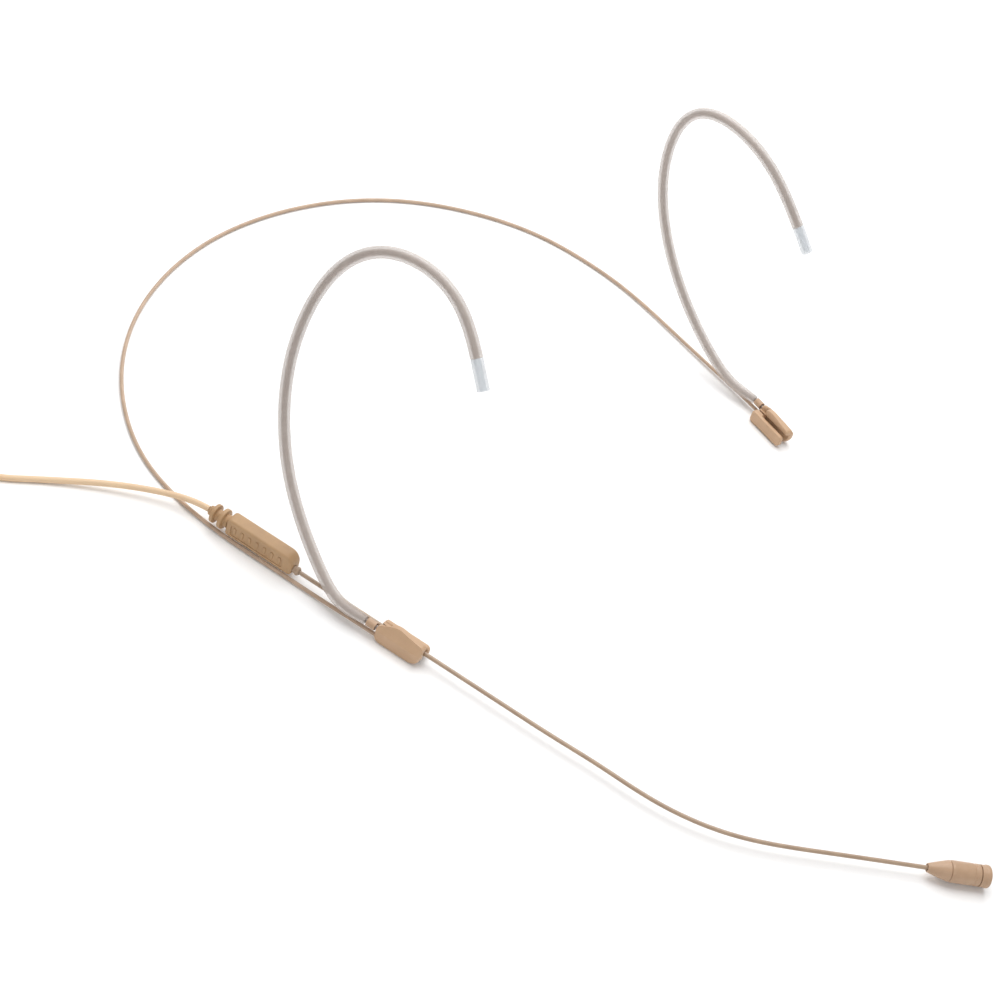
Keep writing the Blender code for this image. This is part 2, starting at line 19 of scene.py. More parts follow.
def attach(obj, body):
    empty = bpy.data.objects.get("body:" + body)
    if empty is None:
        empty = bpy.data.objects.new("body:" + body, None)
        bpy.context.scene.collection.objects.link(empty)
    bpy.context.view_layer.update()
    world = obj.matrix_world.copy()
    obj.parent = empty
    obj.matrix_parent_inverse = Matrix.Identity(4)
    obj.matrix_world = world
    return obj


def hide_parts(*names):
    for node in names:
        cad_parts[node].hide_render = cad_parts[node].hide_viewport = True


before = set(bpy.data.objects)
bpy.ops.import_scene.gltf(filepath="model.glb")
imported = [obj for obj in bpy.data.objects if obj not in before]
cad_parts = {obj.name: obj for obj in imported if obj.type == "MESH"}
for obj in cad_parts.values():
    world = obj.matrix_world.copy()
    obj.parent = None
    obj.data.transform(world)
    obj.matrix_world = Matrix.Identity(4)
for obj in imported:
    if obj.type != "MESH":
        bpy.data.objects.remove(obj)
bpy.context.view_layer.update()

log = logging.getLogger("headset")

MM = 0.001
PLUG_AT = (-131.5, 91.0, 4.05)
EDGE_ANGLE = math.radians(26)
Point = Sequence[float]
Pair = tuple[float, float]
Triple = tuple[float, float, float]
Piece = bpy.types.Object


class Side(Enum):
    """The wearer's right or left, with the sign of its X."""

    RIGHT = -1
    LEFT = 1

    @property
    def word(self) -> str:
        """The side's name in node names."""
        return self.name.lower()


# Shader expressions


class Socket:
    """A number, colour or vector in a material, which Python's operators build nodes from."""

    def __init__(self, tree: "Nodes", link: bpy.types.NodeSocket) -> None:
        """Wraps an output socket.

        Args:
            tree: the node tree that it belongs to.
            link: the output socket.
        """
        self.tree = tree
        self.link = link

    def _math(self, operation: str, *values: Any) -> "Socket":
        """One Math node on these values."""
        return self.tree.node("ShaderNodeMath", {"operation": operation}, dict(enumerate(values)))

    def __add__(self, other: Any) -> "Socket":
        """self + other."""
        return self._math("ADD", self, other)

    def __radd__(self, other: Any) -> "Socket":
        """other + self."""
        return self._math("ADD", other, self)

    def __sub__(self, other: Any) -> "Socket":
        """self - other."""
        return self._math("SUBTRACT", self, other)

    def __mul__(self, other: Any) -> "Socket":
        """self * other."""
        return self._math("MULTIPLY", self, other)

    def clamp(self) -> "Socket":
        """self held between 0 and 1."""
        return self.tree.node("ShaderNodeClamp", {}, {0: self})


class Nodes:
    """The node tree of one material."""

    def __init__(self, name: str) -> None:
        """Makes a new material with only its Principled shader and its output.

        Args:
            name: the material's name.
        """
        self.material = bpy.data.materials.new(name)
        self.material.use_nodes = True
        self.tree = self.material.node_tree
        self.shader = self.tree.nodes["Principled BSDF"]

    def node(self, kind: str, settings: dict[str, Any], values: dict[Any, Any], output: Any = 0) -> Socket:
        """Adds one node.

        Args:
            kind: the node's type.
            settings: its settings, which are set first.
            values: socket name or number to a value or a Socket.
            output: the name or number of the output that is wanted.

        Returns:
            The output, as a Socket.
        """
        made = self.tree.nodes.new(kind)
        for name, value in settings.items():
            setattr(made, name, value)
        for name, value in values.items():
            self._feed(made.inputs[name], value)
        return Socket(self, made.outputs[output])

    def _feed(self, entry: bpy.types.NodeSocket, value: Any) -> None:
        """Links a Socket to an input, or sets it to a value."""
        if isinstance(value, Socket):
            self.tree.links.new(value.link, entry)
        else:
            entry.default_value = value

    def principled(self, **values: Any) -> bpy.types.Material:
        """Sets or links the Principled shader's sockets.

        Args:
            values: socket names, with _ for a space, to values or Sockets.

        Returns:
            The finished material.
        """
        for name, value in values.items():
            self._feed(self.shader.inputs[name.replace("_", " ")], value)
        return self.material

    def noise(self, scale: float, detail: float = 2.0, roughness: float = 0.5) -> Socket:
        """Noise from 0 to 1 in the object's own coordinates, with this many cells to the metre."""
        place = self.node("ShaderNodeTexCoord", {}, {}, "Object")
        values = {"Vector": place, "Scale": scale, "Detail": detail, "Roughness": roughness}
        return self.node("ShaderNodeTexNoise", {}, values)

    def mix(self, factor: Any, low: Sequence[float], high: Sequence[float]) -> Socket:
        """A colour between two colours.

        Args:
            factor: 0 for low and 1 for high.
            low: the first colour.
            high: the second colour.
        """
        values = {0: factor, 6: (*low, 1.0), 7: (*high, 1.0)}
        return self.node("ShaderNodeMix", {"data_type": "RGBA"}, values, 2)

    def bump(self, height: Socket, depth: float, strength: float) -> Socket:
        """A bumped normal.

        Args:
            height: the height, from 0 to 1.
            depth: the height's real depth in metres.
            strength: how strongly it shows.
        """
        return self.node("ShaderNodeBump", {}, {"Height": height, "Distance": depth, "Strength": strength})


Colour = Triple


@dataclass(frozen=True)
class MouldedPlastic:
    """Fine matte moulding with a slight mottle and rubbed high spots."""

    name: str
    colour: Colour
    shade: Colour
    roughness: float = 0.42
    grain_depth: float = 0.00002

    def make(self) -> bpy.types.Material:
        """Builds the material."""
        nodes = Nodes(self.name)
        mottle = nodes.noise(260.0, 4.0, 0.6)
        grain = nodes.noise(5200.0, 2.0)
        cloud = ((mottle - 0.35) * 2.2).clamp()
        return nodes.principled(
            Base_Color=nodes.mix(cloud, self.shade, self.colour),
            Roughness=(self.roughness + (mottle - 0.5) * 0.22 + grain * 0.05).clamp(),
            Subsurface_Weight=0.06,
            Subsurface_Radius=(0.0012, 0.0007, 0.0004),
            Specular_IOR_Level=0.45,
            Normal=nodes.bump(grain, self.grain_depth, 0.6),
        )


@dataclass(frozen=True)
class CoatedWire:
    """Spring wire under a thin satin coat, with faint drawing lines and worn spots."""

    name: str
    colour: Colour
    shade: Colour
    roughness: float = 0.34

    def make(self) -> bpy.types.Material:
        """Builds the material."""
        nodes = Nodes(self.name)
        patches = nodes.noise(330.0, 3.0)
        lines = nodes.noise(3800.0, 2.0)
        worn = ((patches - 0.4) * 2.5).clamp()
        return nodes.principled(
            Base_Color=nodes.mix(worn, self.shade, self.colour),
            Roughness=(self.roughness + patches * 0.2 - 0.1).clamp(),
            Coat_Weight=0.25,
            Coat_Roughness=0.3,
            Normal=nodes.bump(lines, 0.000012, 0.5),
        )


@dataclass(frozen=True)
class ClearTubing:
    """Soft translucent tubing, slightly cloudy, that shows the wire inside it."""

    name: str
    colour: Colour
    haze: Colour
    clearness: float = 0.42

    def make(self) -> bpy.types.Material:
        """Builds the material."""
        nodes = Nodes(self.name)
        cloud = nodes.noise(900.0, 3.0)
        ripple = nodes.noise(2600.0, 2.0)
        return nodes.principled(
            Base_Color=nodes.mix(((cloud - 0.3) * 2.0).clamp(), self.haze, self.colour),
            Roughness=(cloud * 0.1 + 0.2).clamp(),
            Alpha=(self.clearness + (cloud - 0.5) * 0.04).clamp(),
            IOR=1.42,
            Normal=nodes.bump(ripple, 0.00001, 0.5),
        )


@dataclass(frozen=True)
class CableJacket:
    """A satin cable jacket with fine extrusion ripple and a little grime."""

    name: str
    colour: Colour
    shade: Colour

    def make(self) -> bpy.types.Material:
        """Builds the material."""
        nodes = Nodes(self.name)
        grime = nodes.noise(180.0, 4.0, 0.6)
        ripple = nodes.noise(2600.0, 2.0)
        return nodes.principled(
            Base_Color=nodes.mix(((grime - 0.3) * 2.0).clamp(), self.shade, self.colour),
            Roughness=(grime * 0.15 + 0.42).clamp(),
            Subsurface_Weight=0.08,
            Subsurface_Radius=(0.0008, 0.0005, 0.0003),
            Normal=nodes.bump(ripple, 0.000015, 0.6),
        )


@dataclass(frozen=True)
class PlatedMetal:
    """Plated metal with fine turning lines and handled, duller patches."""

    name: str
    colour: Colour
    shade: Colour
    roughness: float = 0.22

    def make(self) -> bpy.types.Material:
        """Builds the material."""
        nodes = Nodes(self.name)
        handled = nodes.noise(240.0, 4.0, 0.6)
        lines = nodes.noise(6000.0, 2.0)
        dull = ((handled - 0.45) * 3.0).clamp()
        return nodes.principled(
            Base_Color=nodes.mix(dull, self.colour, self.shade),
            Metallic=1.0,
            Roughness=(self.roughness + dull * 0.16 + lines * 0.05).clamp(),
            Normal=nodes.bump(lines, 0.000008, 0.4),
        )


@dataclass(frozen=True)
class SoftRubber:
    """Matte rubber or black moulding with a fine pitted skin."""

    name: str
    colour: Colour
    shade: Colour
    roughness: float = 0.7

    def make(self) -> bpy.types.Material:
        """Builds the material."""
        nodes = Nodes(self.name)
        dust = nodes.noise(520.0, 4.0, 0.65)
        pits = nodes.noise(4200.0, 2.0)
        return nodes.principled(
            Base_Color=nodes.mix(((dust - 0.4) * 2.0).clamp(), self.colour, self.shade),
            Roughness=(self.roughness + pits * 0.15 - 0.05).clamp(),
            Normal=nodes.bump(pits, 0.00002, 0.7),
        )


@dataclass(frozen=True)
class StudioPaper:
    """Pale seamless paper for the floor."""

    name: str
    colour: Colour

    def make(self) -> bpy.types.Material:
        """Builds the material."""
        nodes = Nodes(self.name)
        fibre = nodes.noise(900.0, 3.0)
        shade = tuple(channel * 0.985 for channel in self.colour)
        return nodes.principled(Base_Color=nodes.mix(fibre, shade, self.colour), Roughness=0.9)


class Finish(Enum):
    """Every finish on the headset, made once when it is first used."""

    MOULDING = MouldedPlastic("beige_moulding", (0.57, 0.375, 0.235), (0.51, 0.33, 0.20))
    CONNECTOR = MouldedPlastic("connector_moulding", (0.50, 0.315, 0.165), (0.42, 0.26, 0.135), 0.45)
    CAPSULE = MouldedPlastic("capsule_moulding", (0.52, 0.345, 0.225), (0.44, 0.285, 0.18), 0.36)
    WIRE = CoatedWire("coated_wire", (0.53, 0.375, 0.265), (0.44, 0.31, 0.215))
    BOOM = CoatedWire("coated_boom", (0.44, 0.315, 0.215), (0.36, 0.25, 0.17))
    HOOK_WIRE = CoatedWire("hook_wire_coat", (0.30, 0.235, 0.20), (0.24, 0.19, 0.16), 0.4)
    TUBING = ClearTubing("clear_tubing", (0.62, 0.55, 0.50), (0.56, 0.49, 0.45), 0.5)
    TIP = ClearTubing("clear_tip", (0.72, 0.75, 0.78), (0.68, 0.71, 0.74), 0.5)
    JACKET = CableJacket("cable_jacket", (0.76, 0.56, 0.36), (0.70, 0.50, 0.32))
    NICKEL = PlatedMetal("nickel_plate", (0.66, 0.64, 0.60), (0.50, 0.48, 0.45))
    GOLD = PlatedMetal("gold_plate", (0.83, 0.60, 0.26), (0.70, 0.49, 0.20), 0.18)
    SCREEN = PlatedMetal("woven_screen", (0.30, 0.28, 0.26), (0.20, 0.19, 0.18), 0.4)
    RUBBER = SoftRubber("black_rubber", (0.022, 0.021, 0.021), (0.05, 0.048, 0.046))
    BLACK = SoftRubber("black_moulding", (0.016, 0.016, 0.017), (0.03, 0.03, 0.03), 0.45)
    PAPER = StudioPaper("studio_paper", (0.95, 0.95, 0.95))

    def material(self) -> bpy.types.Material:
        """The finish's material."""
        return bpy.data.materials.get(self.value.name) or self.value.make()


# Geometry


def smooth_route(points: Iterable[Point], spacing: float) -> np.ndarray:
    """Points at even spacing along a uniform cubic B-spline that starts and ends at the end points.

    Args:
        points: the route's control points.
        spacing: the distance between the points that come back.

    Returns:
        An array with one row for each point.
    """
    given = np.array([tuple(point) for point in points], float)
    controls = np.vstack([given[:1], given[:1], given, given[-1:], given[-1:]])
    t = np.linspace(0, 1, 16, endpoint=False)[:, None]
    weights = ((1 - t) ** 3, 3 * t**3 - 6 * t**2 + 4, -3 * t**3 + 3 * t**2 + 3 * t + 1, t**3)
    spans = [sum(w * controls[i + k] for k, w in enumerate(weights)) / 6 for i in range(len(controls) - 3)]
    return stretch_of(np.vstack([*spans, controls[-1:]]), 0.0, None, spacing)


def distances_along(points: np.ndarray) -> np.ndarray:
    """The distance from a polyline's start to each of its points."""
    return np.concatenate([[0], np.cumsum(np.linalg.norm(np.diff(points, axis=0), axis=1))])


def stretch_of(points: np.ndarray, start: float, stop: float | None, spacing: float) -> np.ndarray:
    """The stretch of a polyline between two distances along it, with its points evenly spaced."""
    reached = distances_along(points)
    stop = reached[-1] if stop is None else stop
    at = np.linspace(start, stop, max(2, round((stop - start) / spacing) + 1))
    return np.column_stack([np.interp(at, reached, points[:, axis]) for axis in range(3)])


def rounded_outline(corners: Sequence[Triple], steps: int = 8) -> list[Pair]:
    """An outline whose corners (along, up, reach) are each rounded by an arc that starts that far from the corner."""
    outline: list[Pair] = []
    for index, (y, z, radius) in enumerate(corners):
        corner = Vector((y, z))
        before = (Vector(corners[index - 1][:2]) - corner).normalized()
        after = (Vector(corners[(index + 1) % len(corners)][:2]) - corner).normalized()
        half = before.angle(after) / 2
        middle = corner + (before + after).normalized() * radius / math.cos(half)
        first, last = corner + before * radius - middle, corner + after * radius - middle
        swing = math.pi - 2 * half
        for step in range(steps + 1):
            angle = swing * step / steps
            spoke = (first * math.sin(swing - angle) + last * math.sin(angle)) / math.sin(swing)
            outline.append(tuple(middle + spoke))
    return outline


def dressed(name: str, data: Any, finish: Finish, matrix: Matrix | None = None) -> Piece:
    """An object with its finish, linked to the scene.

    Args:
        name: the piece's name.
        data: its mesh or curve.
        finish: its finish.
        matrix: its place.

    Returns:
        The new object.
    """
    piece = bpy.data.objects.new(name, data)
    piece.matrix_world = matrix or Matrix.Identity(4)
    bpy.context.scene.collection.objects.link(piece)
    data.materials.append(finish.material())
    return piece


def mesh_from(bm: bmesh.types.BMesh, name: str, sharp: float = 40.0) -> bpy.types.Mesh:
    """Turns a bmesh into a smooth-shaded mesh with its hard edges kept sharp."""
    bmesh.ops.recalc_face_normals(bm, faces=bm.faces)
    mesh = bpy.data.meshes.new(name)
    bm.to_mesh(mesh)
    bm.free()
    mesh.shade_smooth()
    mesh.set_sharp_from_angle(angle=math.radians(sharp))
    return mesh


def sweep(name: str, route: np.ndarray, rings: Sequence[Pair], sides: int = 20) -> bpy.types.Mesh:
    """A round tube or rod along a route, with no twist.

    Args:
        name: the mesh's name.
        route: the centre line.
        rings: (distance along, radius) pairs. Several at one distance make an end face or a step.
        sides: how many sides it has.

    Returns:
        The closed mesh: the rings are joined in order, and the first to the last for a tube.
    """
    reached = distances_along(route)
    tangents = np.gradient(route, axis=0)
    tangents /= np.linalg.norm(tangents, axis=1)[:, None]
    across = np.zeros_like(tangents)
    across[0] = np.cross(tangents[0], (0, 0, 1))
    for index in range(1, len(route)):
        carried = across[index - 1] - tangents[index] * (across[index - 1] @ tangents[index])
        across[index] = carried / np.linalg.norm(carried)
    across[0] /= np.linalg.norm(across[0])
    angles = np.linspace(0, 2 * math.pi, sides, endpoint=False)
    bm = bmesh.new()
    loops = []
    for distance, radius in rings:
        centre, along, side = (
            np.array([np.interp(distance, reached, values[:, axis]) for axis in range(3)])
            for values in (route, tangents, across)
        )
        up = np.cross(along, side)
        if radius <= 0:
            loops.append([bm.verts.new(centre * MM)])
            continue
        places = [centre + radius * (math.cos(a) * side + math.sin(a) * up) for a in angles]
        loops.append([bm.verts.new(place * MM) for place in places])
    hollow = len(loops[0]) > 1
    for first, second in zip(loops, loops[1:] + loops[:1] if hollow else loops[1:]):
        bridge(bm, first, second)
    return mesh_from(bm, name)


def bridge(bm: bmesh.types.BMesh, first: list, second: list) -> None:
    """Faces between two loops of the same count, or between a loop and a single point."""
    count = max(len(first), len(second))
    for index in range(count):
        following = (index + 1) % count
        corners = [first[index % len(first)], first[following % len(first)]]
        corners += [second[following % len(second)], second[index % len(second)]]
        bm.faces.new(list(dict.fromkeys(corners)))


def rod_rings(length: float, radius: float, spacing: float, rounding: float = 0.12) -> list[Pair]:
    """The rings of a solid rod with softly rounded ends."""
    arc = [(rounding * (1 - math.cos(a)), radius - rounding * (1 - math.sin(a))) for a in (0, 0.5, 1.0, math.pi / 2)]
    middle = np.linspace(rounding, length - rounding, max(2, round(length / spacing)))[1:-1]
    start = [(0, 0), *arc]
    finish = [(length - distance, size) for distance, size in reversed(arc)]
    return [*start, *((distance, radius) for distance in middle), *finish, (length, 0)]


def tube_rings(
    length: float, outer: float, inner: float, spacing: float, pinch: float = 0.0, taper: float = 1.0
) -> list[Pair]:
    """The rings of an open tube with slightly rounded rims.

    Args:
        length: the tube's length.
        outer: its outer radius.
        inner: its inner radius.
        spacing: the distance between rings.
        pinch: how much thinner its start is.
        taper: how far from the start the thinning ends.

    Returns:
        (distance along, radius) pairs, down the outside and back up the inside.
    """
    rim = (outer - inner) * 0.22
    middle = np.linspace(rim, length - rim, max(2, round(length / spacing)))
    outside = [(distance, outer - pinch * max(0.0, 1 - distance / taper)) for distance in middle]
    outside = [(0, outside[0][1] - rim), *outside, (length, outer - rim)]
    inside = [(length, inner + rim), *((distance, inner) for distance in middle[::-1]), (0, inner + rim)]
    return [*outside, *inside]


def turned(
    name: str, profile: Sequence[Pair], sides: int = 48, flute: Pair = (1e9, 0.0)
) -> bpy.types.Mesh:
    """A turned mesh about +Z.

    Args:
        name: the mesh's name.
        profile: (radius, height) pairs, which close on themselves unless both ends meet the axis.
        sides: how many sides it has.
        flute: the least radius that is fluted, and the flutes' depth, cut at every third and fourth side.

    Returns:
        The closed mesh.
    """
    bm = bmesh.new()
    loops = []
    for radius, height in profile:
        loop = []
        for index in range(sides if radius > 0 else 1):
            cut = flute[1] if radius >= flute[0] and index % 4 > 1 else 0.0
            angle = 2 * math.pi * index / sides
            x, y = (radius - cut) * math.cos(angle), (radius - cut) * math.sin(angle)
            loop.append(bm.verts.new((x * MM, y * MM, height * MM)))
        loops.append(loop)
    ring = len(loops[0]) > 1 and len(loops[-1]) > 1
    for first, second in zip(loops, loops[1:] + loops[:1] if ring else loops[1:]):
        bridge(bm, first, second)
    return mesh_from(bm, name, 30.0)


def eased(profile: Sequence[Pair], size: float, steps: int = 3) -> list[Pair]:
    """A turned profile with its corners off the axis eased by small curves.

    Args:
        profile: (radius, height) corners, in order.
        size: how far from each corner the easing starts.
        steps: how many pieces each curve has.
    """
    points = [Vector(corner) for corner in profile]
    open_ended = points[0].x <= 0 or points[-1].x <= 0
    made: list[Pair] = []
    for index, corner in enumerate(points):
        if corner.x <= 0 or (open_ended and index in (0, len(points) - 1)):
            made.append(tuple(corner))
            continue
        before, after = points[index - 1] - corner, points[(index + 1) % len(points)] - corner
        reach = [min(size, side.length * 0.45) * side.normalized() for side in (before, after)]
        for step in range(steps + 1):
            t = step / steps
            made.append(tuple(corner + reach[0] * (1 - t) ** 2 + reach[1] * t**2))
    return made


def slab(name: str, outline: Sequence[Pair], rings: Sequence[Pair]) -> bpy.types.Mesh:
    """A puffed slab: an outline in Y and Z, stacked along X.

    Args:
        name: the mesh's name.
        outline: the side outline, (along, up), in order round it.
        rings: (across, inset) pairs from one face to the other. An inset shrinks the outline along its normals.

    Returns:
        The closed mesh.
    """
    points = np.array(outline, float)
    tangents = np.roll(points, -1, axis=0) - np.roll(points, 1, axis=0)
    normals = np.column_stack([-tangents[:, 1], tangents[:, 0]])
    normals /= np.maximum(np.linalg.norm(normals, axis=1), 1e-9)[:, None]
    if np.sum((points.mean(axis=0) - points) * normals) < 0:
        normals = -normals
    bm = bmesh.new()
    loops = []
    for across, inset in rings:
        shrunk = points + normals * inset
        loops.append([bm.verts.new((across * MM, y * MM, z * MM)) for y, z in shrunk])
    for first, second in zip(loops, loops[1:]):
        bridge(bm, first, second)
    bm.faces.new(loops[0])
    bm.faces.new(loops[-1])
    return mesh_from(bm, name, 35.0)


def carve(piece: Piece, mesh: bpy.types.Mesh, matrix: Matrix, operation: str) -> None:
    """Joins a mesh to a piece or cuts it from the piece, and keeps the result as the piece's own mesh.

    Args:
        piece: the piece that changes.
        mesh: the other mesh.
        matrix: the other mesh's place.
        operation: the Boolean's operation.
    """
    other = bpy.data.objects.new("carver", mesh)
    other.matrix_world = matrix
    bpy.context.scene.collection.objects.link(other)
    step = piece.modifiers.new("carve", "BOOLEAN")
    step.operation = operation
    step.solver = "EXACT"
    step.object = other
    bpy.context.view_layer.update()
    graph = bpy.context.evaluated_depsgraph_get()
    finish = piece.data.materials[0]
    made = bpy.data.meshes.new_from_object(piece.evaluated_get(graph))
    piece.modifiers.remove(step)
    if not made.polygons:
        raise ValueError(f"{piece.name} was lost in a Boolean {operation}")
    piece.data = made
    made.materials.clear()
    made.materials.append(finish)
    for polygon in made.polygons:
        polygon.material_index = 0
    made.shade_smooth()
    made.set_sharp_from_angle(angle=EDGE_ANGLE)
    bpy.data.objects.remove(other)


def soften(piece: Piece, width: float) -> None:
    """Gives a piece narrow rounded edges, so that they catch the light."""
    edges = piece.modifiers.new("edges", "BEVEL")
    edges.width = width * MM
    edges.segments = 3
    edges.limit_method = "ANGLE"
    edges.angle_limit = EDGE_ANGLE
    edges.harden_normals = True


def rounded_rings(start: float, stop: float, easing: float, steps: int = 5) -> list[Pair]:
    """The rings of a slab whose two edges are rounded by a quarter circle."""
    arc = [(easing * (1 - math.sin(a)), easing * (1 - math.cos(a))) for a in np.linspace(math.pi / 2, 0, steps)]
    way = 1 if stop > start else -1
    first = [(start + way * depth, inset) for depth, inset in arc]
    return first + [(stop - way * depth, inset) for depth, inset in reversed(arc)]


# Shared layout of the headset


@dataclass(frozen=True)
class Layout:
    """Where the clips and the boom axis are, as the frame has them."""

    toe_in: float = math.radians(11.6)
    axis_height: float = 2.4
    clips: dict = field(default_factory=lambda: {Side.RIGHT: (-60.8, 0.5), Side.LEFT: (61.8, 0.0)})

    def clip_frame(self, side: Side) -> Matrix:
        """A clip's own frame: +Y points back along the boom axis, +Z up."""
        x, y = self.clips[side]
        return Matrix.Translation((x * MM, y * MM, 0)) @ Matrix.Rotation(-side.value * self.toe_in, 4, "Z")

    def point(self, side: Side, outward: float, back: float, up: float) -> Vector:
        """A point of a clip's frame, in millimetres of the world."""
        return self.clip_frame(side) @ Vector((side.value * outward * MM, back * MM, up * MM)) / MM

    def along(self, side: Side, back: float, outward: float, up: float, forwards: bool = False) -> Matrix:
        """A frame whose +Z runs along the boom axis, backwards or forwards."""
        place = Matrix.Translation((side.value * outward * MM, back * MM, up * MM))
        turn = Matrix.Rotation(math.pi / 2 if forwards else -math.pi / 2, 4, "X")
        return self.clip_frame(side) @ place @ turn


LAYOUT = Layout()


def aimed(place: Point, direction: Point) -> Matrix:
    """A frame at a point, in millimetres, with +Z along a direction."""
    turn = Vector(direction).to_track_quat("Z", "Y").to_matrix().to_4x4()
    return Matrix.Translation(Vector(place) * MM) @ turn


def mount(piece: Piece, body: str, slot: str, *replaced: str) -> Piece:
    """Rides a piece on its body and hides the nodes that it stands for."""
    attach(piece, body)
    if replaced:
        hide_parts(*replaced)
    log.info("%s rides on %s", piece.name, body)
    return piece


# Sub-assemblies


@dataclass
class Studio:
    """The camera, the lights and the floor."""

    eye: Triple = (-283.5, -152.0, 278.0)
    target: Triple = (-31.5, 1.0, 20.0)
    roll: float = math.radians(18.5)
    lens: float = 72.0
    floor_drop: float = 0.02

    def build(self) -> None:
        """Makes the camera, the lights, the world and the floor."""
        self.camera()
        self.floor()
        self.light("key_light", (90, 120, 560), 560, 3.1)
        self.light("fill_light", (-420, -360, 320), 520, 0.5)
        self.light("rim_light", (420, 260, 260), 420, 0.7)
        world = bpy.data.worlds.new("studio_world")
        world.use_nodes = True
        background = world.node_tree.nodes["Background"]
        background.inputs["Color"].default_value = (1.0, 1.0, 1.0, 1.0)
        background.inputs["Strength"].default_value = 0.5
        bpy.context.scene.world = world
        bpy.context.scene.view_settings.view_transform = "Standard"

    def camera(self) -> None:
        """Makes the camera, rolled about its own axis."""
        eye, target = Vector(self.eye) * MM, Vector(self.target) * MM
        view = (target - eye).normalized()
        right = view.cross(Vector((0, 0, 1))).normalized()
        up = right.cross(view)
        across = math.cos(self.roll) * right + math.sin(self.roll) * up
        upward = math.cos(self.roll) * up - math.sin(self.roll) * right
        data = bpy.data.cameras.new("camera")
        data.lens = self.lens
        data.sensor_width = 36.0
        data.clip_start = 0.01
        camera = bpy.data.objects.new("camera", data)
        turn = Matrix((across, upward, -view)).transposed().to_4x4()
        camera.matrix_world = Matrix.Translation(eye) @ turn
        bpy.context.scene.collection.objects.link(camera)
        bpy.context.scene.camera = camera

    def floor(self) -> None:
        """Makes the pale floor just under the headset."""
        bm = bmesh.new()
        bmesh.ops.create_grid(bm, x_segments=4, y_segments=4, size=4.0)
        plane = dressed("floor", mesh_from(bm, "floor"), Finish.PAPER)
        plane.location.z = -self.floor_drop * MM

    def light(self, name: str, place: Point, size: float, power: float) -> None:
        """Makes one soft area light that faces the headset.

        Args:
            name: the light's name.
            place: where it hangs.
            size: the side of its square.
            power: its power in watts.
        """
        data = bpy.data.lights.new(name, "AREA")
        data.size = size * MM
        data.energy = power
        lamp = bpy.data.objects.new(name, data)
        lamp.matrix_world = aimed(place, Vector(place) - Vector(self.target))
        bpy.context.scene.collection.objects.link(lamp)


@dataclass
class CableRun:
    """The free cable: from the strain relief to the coil beside the headset, and on to its plug."""

    radius: float = 0.65
    length: float = 1.2
    leave: Triple = (-0.4, 41.6, 3.15)
    bends: tuple = (
        (-69.7, 44.5, 3.05), (-71.6, 48.7, 2.5), (-75.9, 54.3, 2.0), (-81, 59.6, 1.5), (-86.4, 64.4, 0.85),
        (-92, 68.7, 0.65), (-96.6, 71.8, 0.65), (-99.2, 75.6, 0.65), (-101.2, 80, 0.8),
    )
    coil_at: Pair = (-113, 73)
    inner_turn: float = 4.41
    outer_turn: float = 11.35
    lowest_turn: float = 1.2
    layers: int = 4
    entry_angle: float = math.radians(58)
    lead: tuple = (
        (-113, 85.2, 4.95), (-117.5, 87.2, 4.2), (-121, 90.8, 3.2), (-123.4, 95.6, 2.8), (-127.2, 99.4, 3.1),
        (-131.2, 98.6, 3.7), (-132.1, 95, 4.0), (-131.5, 93, 4.05),
    )

    def coil_points(self) -> list[Triple]:
        """The coil's turns: each layer winds in or out by one diameter a turn, and the next lies on it."""
        pitch = 2 * self.radius
        wide = self.outer_turn - self.inner_turn
        sweep_angle = 2 * math.pi * wide / pitch
        rise_angle = math.radians(80)
        steps = 24
        points = []
        angle = self.entry_angle
        for layer in range(self.layers):
            inwards = layer % 2 == 0
            low = self.lowest_turn + layer * pitch
            for step in range(round(sweep_angle / (2 * math.pi) * steps)):
                share = step * 2 * math.pi / steps / sweep_angle
                radius = self.outer_turn - share * wide if inwards else self.inner_turn + share * wide
                points.append(self.coil_point(angle + share * sweep_angle, radius, low))
            angle += sweep_angle
            edge = self.inner_turn if inwards else self.outer_turn
            if layer < self.layers - 1:
                points += [self.coil_point(angle + t * rise_angle, edge, low + t * pitch) for t in (0, 0.33, 0.67)]
                angle += rise_angle
        return points

    def coil_point(self, angle: float, radius: float, height: float) -> Triple:
        """A point of the coil."""
        x, y = self.coil_at
        return (x + radius * math.cos(angle), y + radius * math.sin(angle), height)

    def route(self) -> np.ndarray:
        """The cable's whole centre line."""
        outward, back, up = self.leave
        start = LAYOUT.point(Side.RIGHT, outward, back, up)
        return smooth_route([start, *self.bends, *self.coil_points(), *self.lead, PLUG_AT], 1.1)

    def build(self, plug: list[Piece]) -> None:
        """Args:
            plug: the pieces of the plug on its far end; not used.
        """
        route = self.route()
        curve = bpy.data.curves.new("signal_cable", "CURVE")
        curve.dimensions = "3D"
        curve.bevel_depth = self.radius * MM
        curve.bevel_resolution = 4
        curve.use_fill_caps = True
        spline = curve.splines.new("POLY")
        spline.points.add(len(route) - 1)
        for point, place in zip(spline.points, route):
            point.co = (*(value * MM for value in place), 1.0)
        spline.use_smooth = True
        cable = dressed("signal_cable", curve, Finish.JACKET)
        mount(cable, "connector", "tan_cable", "cable", "cable_plug_end", "cable_coil")
        log.info("cable centre line %.3f m", distances_along(route)[-1] * MM)


